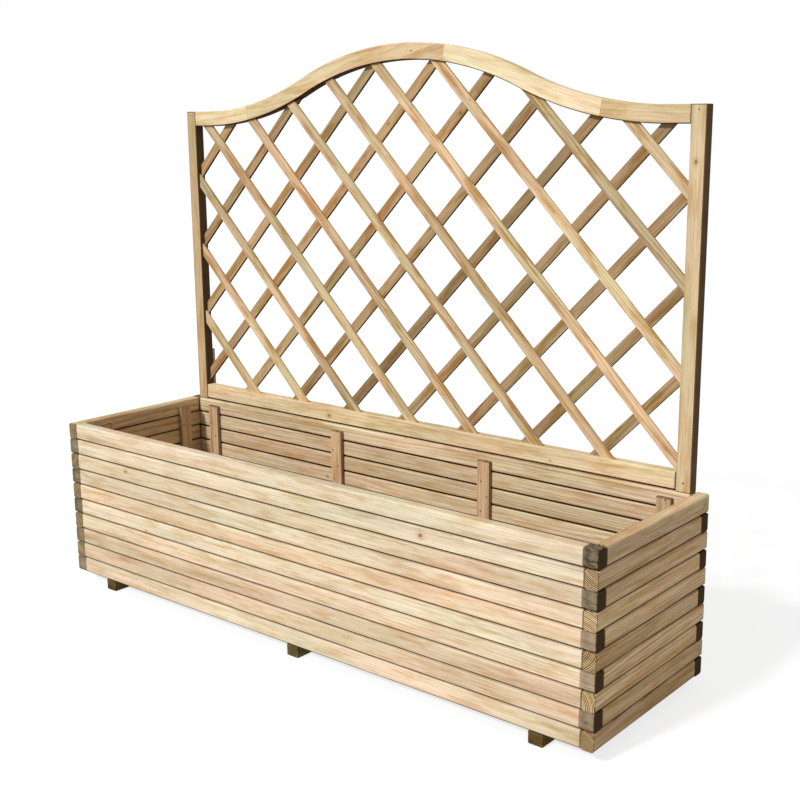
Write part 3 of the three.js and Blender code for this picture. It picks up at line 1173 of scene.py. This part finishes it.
@dataclass
class TrellisFrame:
    """The posts, the bottom rail and the arched rail, which is glued up from four pieces.

    Attributes:
        source: The seeded source of the pieces' characters.
        post_arris: Rounding of the posts' long edges.
        post_end_arris: Rounding round the posts' ends.
        rail_arris: Rounding of the rails' long edges.
        corner_steps: Facets in each rounding of the arch.
        arch_height: Of the arched rail, square to its curve.
        arch_rise: Of the crown above the posts' tops.
        arch_shoulder: Level length of the arch beside each post.
        crown_radius: Of the arch's upper edge at its crown.
        arch_joints: X of the glued joints between the arch's pieces.
        joint_gap: Width of the line that such a joint shows.
        post_traits: Tone, warmth, honey and shade of the left and right posts.
        rail_traits: The same for the bottom rail.
        arch_traits: The same for each of the arch's pieces, from the left.
        tone_spread: How far the tones and warmths stray from those traits.
        figure: How strongly the frame's grain shows.
        nail_drop: Of the posts' lower nails below the bottom rail's upper edge.
        crown_nail: X of the nail near the crown.
        arch_step: Length of one step along the arch.
        slope_reach: Half the stretch over which the arch's slope is taken.
    """

    source: random.Random
    post_arris: float = 0.004
    post_end_arris: float = 0.0015
    rail_arris: float = 0.0035
    corner_steps: int = 4
    arch_height: float = 0.043
    arch_rise: float = 0.166
    arch_shoulder: float = 0.052
    crown_radius: float = 0.920
    arch_joints: tuple[float, ...] = (-0.598, 0.130, 0.596)
    joint_gap: float = 0.0005
    post_traits: tuple[Traits, Traits] = ((-0.3, 0.35, 0.2, 0.86), (-0.19, 0.08, 0.2, 0.86))
    rail_traits: Traits = (0.04, 0.05, 0.15, 0.9)
    arch_traits: tuple[Traits, ...] = ((0.03, 0.02, 0.1, 1.0), (-0.1, 0.12, 0.25, 1.0),
                                       (0.1, 0.0, 0.0, 1.0), (-0.07, 0.14, 0.25, 1.0))
    tone_spread: float = 0.01
    figure: float = 0.5
    nail_drop: float = 0.024
    crown_nail: float = 0.025
    arch_step: float = 0.012
    slope_reach: float = 0.001

    def __post_init__(self) -> None:
        """Takes the frame's places from the CAD and works out the arch's curve."""
        self.post_low, self.post_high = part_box("post_right")
        self.daylight = self.post_low.x
        self.rail_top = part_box("bottom_rail")[1].z
        self.post_top = self.post_high.z
        self.half_span = self.daylight - self.arch_shoulder
        self.turn = 2 * math.atan(self.arch_rise / self.half_span)
        self.valley_radius = self.half_span / math.sin(self.turn) - self.crown_radius

    def arch_line(self, x: float, inside: float) -> float:
        """Gives the height of a line that runs along the arch.

        Args:
            x: Where along the planter.
            inside: How far the line runs inside the arch's upper edge.

        Returns:
            The line's height at that X.
        """
        across = abs(x)
        crown = self.crown_radius - inside
        valley = self.valley_radius + inside
        if across < crown * math.sin(self.turn):
            return (self.post_top + self.arch_rise - self.crown_radius
                    + math.sqrt(crown ** 2 - across ** 2))
        if across >= self.half_span:
            return self.post_top - inside
        return self.post_top + self.valley_radius - math.sqrt(
            valley ** 2 - (self.half_span - across) ** 2)

    def opening_holds(self, x: float, z: float, grow: float) -> bool:
        """Says whether a point is in the frame's opening, grown by a distance."""
        return (abs(x) <= self.daylight + grow and z >= self.rail_top - grow
                and z <= self.arch_line(x, self.arch_height - grow))

    def build(self) -> None:
        """Makes the posts and the rails."""
        for side, traits in zip(("left", "right"), self.post_traits):
            low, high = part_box(f"post_{side}")
            post = Bar(f"trellis_post_{side}", low, high, Grain.UPRIGHT, self.post_arris,
                       self.post_end_arris)
            post.build(Finish.FRAME, self._character(*traits), f"post_{side}")
        low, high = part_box("bottom_rail")
        rail = Bar("trellis_bottom_rail", low, high, Grain.ALONG_X, self.rail_arris)
        rail.build(Finish.FRAME, self._character(*self.rail_traits), "bottom_rail")
        ends = (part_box("arch_rail")[0].x, *self.arch_joints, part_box("arch_rail")[1].x)
        for index, (start, end) in enumerate(zip(ends, ends[1:])):
            self._build_arch_piece(f"arch_piece_{index + 1}", start + self.joint_gap / 2,
                                   end - self.joint_gap / 2,
                                   self._character(*self.arch_traits[index]))
        self._build_nails()

    def _character(self, tone: float, warmth: float, honey: float, under: float) -> Character:
        """Draws the character of one of the frame's pieces, all of quiet figure.

        Args:
            tone: Lighter or darker than the frame's finish, as a share.
            warmth: How pink the piece is, from 0 to 1.
            honey: How golden it is, from 0 to 1.
            under: How dark its shaded side is, from 0 to 1.

        Returns:
            The new character.
        """
        return Character.drawn(self.source, tone, warmth, self.tone_spread, under=under,
                               honey=honey, figure=self.figure)

    def _build_nails(self) -> None:
        """Makes the heads of the nails in the frame's front, at its corners and the crown."""
        nails = Fasteners("trellis_nails", Head.NAIL)
        post_middle = (self.post_low.x + self.post_high.x) / 2
        for side in (-1, 1):
            for height in (self.rail_top - self.nail_drop, self.post_top - self.nail_drop / 2):
                nails.spots.append((Vector((side * post_middle, self.post_low.y, height)),
                                    Vector((0, -1, 0))))
        crown = Vector((self.crown_nail, self.post_low.y,
                        self.arch_line(self.crown_nail, self.arch_height / 2)))
        nails.spots.append((crown, Vector((0, -1, 0))))
        nails.build()

    def _centre(self, x: float) -> Vector:
        """Gives the place on the arch's centre line at an X."""
        return Vector((x, (self.post_low.y + self.post_high.y) / 2,
                       self.arch_line(x, self.arch_height / 2)))

    def _section(self) -> list[tuple[float, float]]:
        """Works out the arch's rounded section.

        Returns:
            Its points, each across the arch's depth and up its height.
        """
        depth = self.post_high.y - self.post_low.y
        reach_y, reach_z = depth / 2 - self.rail_arris, self.arch_height / 2 - self.rail_arris
        points = []
        for corner, (side_y, side_z) in enumerate(((1, -1), (1, 1), (-1, 1), (-1, -1))):
            for step in range(self.corner_steps + 1):
                angle = math.radians(-90 + 90 * corner + 90 * step / self.corner_steps)
                points.append((side_y * reach_y + self.rail_arris * math.cos(angle),
                               side_z * reach_z + self.rail_arris * math.sin(angle)))
        return points

    def _build_arch_piece(self, name: str, start: float, end: float,
                          character: Character) -> None:
        """Makes one piece of the arch, bandsawn from a straight board.

        Args:
            name: The piece's name.
            start: X of its left end.
            end: X of its right end.
            character: Its own traits.
        """
        count = max(2, round((end - start) / self.arch_step))
        xs = [start + (end - start) * step / count for step in range(count + 1)]
        chord = (self._centre(end) - self._centre(start)).normalized()
        turn = Matrix((chord, Vector((0, 1, 0)), chord.cross(Vector((0, 1, 0))))).transposed()
        middle = (self._centre(start) + self._centre(end)) / 2
        section = self._section()
        bm = bmesh.new()
        rings = []
        for x in xs:
            slope = (self._centre(x + self.slope_reach)
                     - self._centre(x - self.slope_reach)).normalized()
            up = Vector((-slope.z, 0, slope.x))
            ring = []
            for across, height in section:
                place = self._centre(x) + up * height + Vector((0, across, 0))
                ring.append(bm.verts.new(turn.transposed() @ (place - middle)))
            rings.append(ring)
        for first, second in zip(rings, rings[1:]):
            for step in range(len(section)):
                after = (step + 1) % len(section)
                bm.faces.new((first[step], first[after], second[after], second[step]))
        bm.faces.new(rings[0])
        bm.faces.new(list(reversed(rings[-1])))
        place_piece(name, bm, turn, middle, Finish.FRAME, character, ("arch_rail",))


@dataclass
class Lattice:
    """Two crossing layers of slats in the trellis frame's opening.

    Attributes:
        trellis: The frame that holds it.
        source: The seeded source of the slats' characters.
        width: Of a slat.
        thickness: Of a slat.
        arris: Rounding of a slat's long edges.
        arris_steps: Facets in such a rounding.
        each_way: How many slats lean each way.
        angle: Of a slat from level.
        layer_gap: Between the two layers.
        setback: Of the front layer behind the frame's front.
        front_margins: From the frame's lower and upper corners to the front layer's end slats.
        back_margins: The same for the back layer.
        tuck: How far the slats' ends go into the frame.
        strips: How many strips a slat's end is cut in, to follow the frame.
        front_traits: Tone, warmth, honey and shade of the front layer.
        back_traits: The same for the back layer.
        tone_spread: How far the slats' tones differ.
        figure: How strongly the slats' grain shows.
        search_step: Length of a step in the search for where a slat meets the frame.
        search_reach: How far the search goes to either side.
    """

    trellis: TrellisFrame
    source: random.Random
    width: float = 0.028
    thickness: float = 0.0075
    arris: float = 0.0009
    arris_steps: int = 3
    each_way: int = 11
    angle: float = math.radians(45.4)
    layer_gap: float = 0.0003
    setback: float = 0.007
    front_margins: tuple[float, float] = (0.152, 0.106)
    back_margins: tuple[float, float] = (0.162, 0.096)
    tuck: float = 0.006
    strips: int = 8
    front_traits: Traits = (-0.1, 0.1, 0.0, 0.45)
    back_traits: Traits = (-0.42, 0.25, 0.3, 1.0)
    tone_spread: float = 0.08
    figure: float = 0.8
    search_step: float = 0.004
    search_reach: float = 2.4

    def build(self) -> None:
        """Makes all the slats of both layers."""
        front_y = self.trellis.post_low.y + self.setback + self.thickness / 2
        back_y = front_y + self.thickness + self.layer_gap
        for layer, lean, y, margins, traits in (
                ("front", 1, front_y, self.front_margins, self.front_traits),
                ("back", -1, back_y, self.back_margins, self.back_traits)):
            tone, warmth, honey, under = traits
            for index, offset in enumerate(self._offsets(margins)):
                character = Character.drawn(self.source, tone, warmth, self.tone_spread,
                                            honey=honey, under=under, figure=self.figure)
                self._build_slat(f"{layer}_slat_{index + 1:02d}", lean, offset, y, character)

    def _offsets(self, margins: tuple[float, float]) -> list[float]:
        """Spaces a layer's slats evenly.

        Args:
            margins: From the frame's lower and upper corners to the layer's end slats.

        Returns:
            Each slat's distance from the middle of the frame's width, square to the slat.
        """
        sine, cosine = math.sin(self.angle), math.cos(self.angle)
        trellis = self.trellis
        first = trellis.rail_top * cosine - trellis.daylight * sine + margins[0]
        last = ((trellis.post_top - trellis.arch_height) * cosine + trellis.daylight * sine
                - margins[1])
        return [first + (last - first) * index / (self.each_way - 1)
                for index in range(self.each_way)]

    def _build_slat(self, name: str, lean: int, offset: float, y: float,
                    character: Character) -> None:
        """Makes one slat, its ends cut to the frame.

        Args:
            name: The slat's name.
            lean: 1 where it runs down to the right, -1 where it runs up to the right.
            offset: Its distance from the middle of the frame's width, square to it.
            y: Where its middle is, front to back.
            character: Its own traits.
        """
        along = Vector((math.cos(self.angle), 0, -lean * math.sin(self.angle)))
        square = Vector((lean * math.sin(self.angle), 0, math.cos(self.angle)))
        asides = [self.width * (step / self.strips - 0.5) for step in range(self.strips + 1)]
        spans = [self._span(square * (offset + aside), along) for aside in asides]
        middle = (min(start for start, _ in spans) + max(end for _, end in spans)) / 2
        half = self.thickness / 2
        bm = bmesh.new()
        rows = [[bm.verts.new((t - middle, depth, aside)) for t, depth in (
            (start, -half), (end, -half), (end, half), (start, half))]
            for aside, (start, end) in zip(asides, spans)]
        for lower, upper in zip(rows, rows[1:]):
            for step in range(4):
                after = (step + 1) % 4
                bm.faces.new((lower[step], lower[after], upper[after], upper[step]))
        bm.faces.new(rows[0])
        bm.faces.new(list(reversed(rows[-1])))
        edges = [bm.edges.get((row[a], row[b])) for row in (rows[0], rows[-1])
                 for a, b in ((0, 1), (2, 3))]
        bmesh.ops.bevel(bm, geom=edges, offset=self.arris, offset_type="OFFSET",
                        segments=self.arris_steps, profile=0.5, affect="EDGES",
                        clamp_overlap=True)
        turn = Matrix((along, Vector((0, 1, 0)), square)).transposed()
        place = square * offset + along * middle + Vector((0, y, 0))
        place_piece(name, bm, turn, place, Finish.SLAT, character, self._nodes())

    def _span(self, start: Vector, along: Vector) -> tuple[float, float]:
        """Gives where a line enters and leaves the frame's opening, grown by the tuck.

        Args:
            start: A point on the line.
            along: The line's direction.

        Returns:
            The distances from the start at which it enters and leaves.
        """
        def inside(t: float) -> bool:
            """Says whether the line is in the opening at a distance."""
            place = start + along * t
            return self.trellis.opening_holds(place.x, place.z, self.tuck)
        step = self.search_step
        count = round(self.search_reach / step)
        held = [index * step for index in range(-count, count + 1) if inside(index * step)]
        return (self._edge(inside, held[0], held[0] - step),
                self._edge(inside, held[-1], held[-1] + step))

    @staticmethod
    def _edge(inside: Callable[[float], bool], within: float, beyond: float,
              rounds: int = 12) -> float:
        """Narrows down where a test changes, by halving.

        Args:
            inside: The test.
            within: A distance at which it holds.
            beyond: One at which it doesn't.
            rounds: How many times the stretch between them is halved.

        Returns:
            The distance at which it still just holds.
        """
        for _ in range(rounds):
            middle = (within + beyond) / 2
            within, beyond = (middle, beyond) if inside(middle) else (within, middle)
        return within

    def _nodes(self) -> tuple[str, ...]:
        """The CAD nodes that the slats stand for together."""
        return tuple(f"slat_pair_{index + 1:02d}" for index in range(self.each_way))


@dataclass
class BackingBattens:
    """The battens on the back of the box that hold the trellis posts.

    Attributes:
        source: The seeded source of the battens' characters.
        arris: Rounding of their long edges.
        tone: Lighter or darker than the battens' finish, as a share.
        screw_heights: Of the screws, from a batten's foot, as shares of its length.
        screw_stagger: Of the screws, in turn to either side of the middle.
    """

    source: random.Random
    arris: float = 0.002
    tone: float = -0.1
    screw_heights: tuple[float, ...] = (0.12, 0.36, 0.58, 0.74, 0.92)
    screw_stagger: float = 0.007

    def build(self) -> None:
        """Makes the battens and the screws through them."""
        screws = Fasteners("backing_batten_screws", Head.SCREW)
        for side in ("left", "right"):
            node = f"backing_batten_{side}"
            low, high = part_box(node)
            batten = Bar(f"trellis_{node}", low, high, Grain.UPRIGHT, self.arris)
            batten.build(Finish.BATTEN, Character.drawn(self.source, tone=self.tone), node)
            for index, share in enumerate(self.screw_heights):
                aside = self.screw_stagger if index % 2 else -self.screw_stagger
                x = (low.x + high.x) / 2 + aside
                place = Vector((x, high.y, low.z + (high.z - low.z) * share))
                screws.spots.append((place, Vector((0, 1, 0))))
        screws.build()


# ---------------------------------------------------------------- studio


@dataclass
class Studio:
    """A pale floor, soft light from the front left, a white surround and the camera.

    Attributes:
        sun_path: The way the main light travels.
        sun_strength: Its strength.
        sun_angle: Its width as seen from the planter.
        sky: Brightness of the surround on the planter.
        floor_grey: Colour of the floor.
        floor_glow: How bright the floor looks to the camera by itself.
        floor_catch: How much of the light on it the camera sees besides.
        eye: The camera's place.
        yaw: The camera's turn from +Y.
        pitch: Its tilt.
        roll: Its lean.
        lens: Its focal length in millimetres.
        sensor: Width of its sensor in millimetres.
        shift: Of its view sideways and upwards, as shares of the picture's width.
        clip: The nearest and the furthest that it sees.
        floor_size: Of the floor.
    """

    sun_path: Vector = field(default_factory=lambda: Vector((0.2, 1.0, -0.8)))
    sun_strength: float = 2.52
    sun_angle: float = math.radians(7)
    sky: float = 0.37
    floor_grey: float = 0.55
    floor_glow: float = 0.78
    floor_catch: float = 0.32
    eye: Vector = field(default_factory=lambda: Vector((2.0987, -2.29795, 1.3267)))
    yaw: float = math.radians(-38.44)
    pitch: float = math.radians(-12.60)
    roll: float = math.radians(-0.17)
    lens: float = 54.59
    sensor: float = 36
    shift: tuple[float, float] = (-0.0461, -0.0006)
    clip: tuple[float, float] = (0.1, 200)
    floor_size: float = 60

    def build(self) -> None:
        """Makes the floor, the lights and the camera."""
        self._build_floor()
        self._build_sky()
        self._build_sun()
        self._build_camera()
        bpy.context.scene.view_settings.view_transform = "Standard"

    @staticmethod
    def _seen(s: Sketch) -> Socket:
        """Tells rays from the camera apart, by way of gloss and glass too.

        Args:
            s: The sketch that it is used in.

        Returns:
            1 for such a ray, 0 for any other.
        """
        path = s.add("LightPath")
        seen = path.outputs["Is Camera Ray"]
        for key in ("Is Glossy Ray", "Is Transmission Ray"):
            seen = s.maths("MAXIMUM", seen, path.outputs[key])
        return seen

    def _build_floor(self) -> None:
        """Makes the floor, which looks white and keeps the planter's shadow."""
        bm = bmesh.new()
        bmesh.ops.create_grid(bm, x_segments=1, y_segments=1, size=self.floor_size)
        mesh = bpy.data.meshes.new("studio_floor")
        bm.to_mesh(mesh)
        bm.free()
        floor = bpy.data.objects.new("studio_floor", mesh)
        bpy.context.scene.collection.objects.link(floor)
        s = Sketch.material("studio_paper")
        plain = s.add("BsdfDiffuse")
        plain.inputs["Color"].default_value = (self.floor_grey,) * 3 + (1,)
        caught = s.add("BsdfDiffuse")
        caught.inputs["Color"].default_value = (self.floor_catch,) * 3 + (1,)
        glow = s.add("Emission")
        glow.inputs["Strength"].default_value = self.floor_glow
        bright = s.add("AddShader")
        s.feed(bright.inputs[0], caught.outputs[0])
        s.feed(bright.inputs[1], glow.outputs[0])
        choice = s.add("MixShader")
        s.feed(choice.inputs[0], self._seen(s))
        s.feed(choice.inputs[1], plain.outputs[0])
        s.feed(choice.inputs[2], bright.outputs[0])
        mesh.materials.append(s.finish(choice))
        LOG.info("built the floor")

    def _build_sky(self) -> None:
        """Makes the surround: white to look at, and dimmer as a light."""
        world = bpy.data.worlds.new("studio_surround")
        bpy.context.scene.world = world
        s = Sketch(world)
        background = s.add("Background")
        background.inputs["Color"].default_value = (1, 1, 1, 1)
        s.feed(background.inputs["Strength"], s.spread(self._seen(s), 0.0, 1.0, self.sky, 1.0))
        s.finish(background)
        LOG.info("built the surround")

    def _build_sun(self) -> None:
        """Makes the main light."""
        data = bpy.data.lights.new("key_light", "SUN")
        data.energy = self.sun_strength
        data.angle = self.sun_angle
        light = bpy.data.objects.new("key_light", data)
        light.rotation_mode = "QUATERNION"
        light.rotation_quaternion = self.sun_path.to_track_quat("-Z", "Y")
        bpy.context.scene.collection.objects.link(light)
        LOG.info("built the main light")

    def _build_camera(self) -> None:
        """Makes the camera at the photograph's angle."""
        data = bpy.data.cameras.new("camera")
        data.lens = self.lens
        data.sensor_width = self.sensor
        data.shift_x, data.shift_y = self.shift
        data.clip_start, data.clip_end = self.clip
        sine, cosine = math.sin(self.yaw), math.cos(self.yaw)
        forward = Vector((sine * math.cos(self.pitch), cosine * math.cos(self.pitch),
                          math.sin(self.pitch)))
        right = Vector((cosine, -sine, 0))
        up = right.cross(forward)
        rolled_right = right * math.cos(self.roll) + up * math.sin(self.roll)
        rolled_up = up * math.cos(self.roll) - right * math.sin(self.roll)
        camera = bpy.data.objects.new("camera", data)
        turn = Matrix((rolled_right, rolled_up, -forward)).transposed()
        camera.matrix_world = Matrix.Translation(self.eye) @ turn.to_4x4()
        bpy.context.scene.collection.objects.link(camera)
        bpy.context.scene.camera = camera
        LOG.info("built the camera")


# ---------------------------------------------------------------- the whole planter

SEED = 29
LONG_WALLS = ("front", "back")
# Where an end wall differs from a long one.
END_WALL: dict[str, object] = {"batten_count": 2, "batten_margins": (0.046, 0.046)}
# How far the boards' tones and warmths stray from those below.
BOARD_SPREAD = 0.01
# Tone and warmth of each wall's boards, from the top.
FRONT_BOARDS = ((-0.09, 0.02), (-0.05, 0.0), (-0.12, 0.2), (-0.03, 0.04), (-0.04, 0.34),
                (-0.01, 0.0), (-0.02, 0.2), (-0.16, 0.26), (-0.11, 0.26), (-0.05, 0.1))
RIGHT_BOARDS = ((0.01, 0.22), (0.0, 0.36), (0.06, 0.34), (0.38, 0.3), (0.2, 0.38),
                (0.0, 0.45), (0.19, 0.34), (0.29, 0.38), (0.03, 0.5), (-0.05, 0.5))
BACK_BOARDS = ((-0.06, 0.16), (-0.14, 0.16), (-0.08, 0.2), (-0.1, 0.15), (-0.12, 0.2)) * 2
LEFT_BOARDS = ((-0.08, 0.16), (-0.16, 0.25)) * 5


def characters(source: random.Random, tones: tuple[tuple[float, float], ...],
               **traits: float) -> list[Character]:
    """Draws the characters of a wall's boards.

    Args:
        source: The seeded source.
        tones: Tone and warmth of each board, from the top.
        traits: Further traits that all of the wall's boards share.

    Returns:
        A character for each board.
    """
    return [Character.drawn(source, tone, warmth, BOARD_SPREAD, **traits)
            for tone, warmth in tones]


def main() -> None:
    """Builds the planter piece by piece, and the studio round it."""
    source = random.Random(SEED)
    space = SoilSpace.measured()
    for wall, side, tones, traits, changes in (
            ("front", -1, FRONT_BOARDS, {"figure": 0.48}, {}),
            ("right", 1, RIGHT_BOARDS, {"figure": 1.25, "honey": 0.4}, END_WALL),
            # The back wall's joints get full painted shade on their upper roundings.
            ("back", 1, BACK_BOARDS, {"figure": 0.9, "honey": 0.2}, {"upper_painted_shade": 1.0}),
            ("left", -1, LEFT_BOARDS, {"figure": 0.9, "honey": 0.45, "weather": 0.28}, END_WALL)):
        boards = characters(source, tones, **traits)
        BoardWall(wall, side, wall in LONG_WALLS, space, boards, source, **changes).build()
    BasePallet(source, space).build()
    trellis = TrellisFrame(source)
    trellis.build()
    Lattice(trellis, source).build()
    BackingBattens(source).build()
    Studio().build()


if __name__ == "__main__":
    logging.basicConfig(level=logging.INFO, format="%(message)s")
    main()
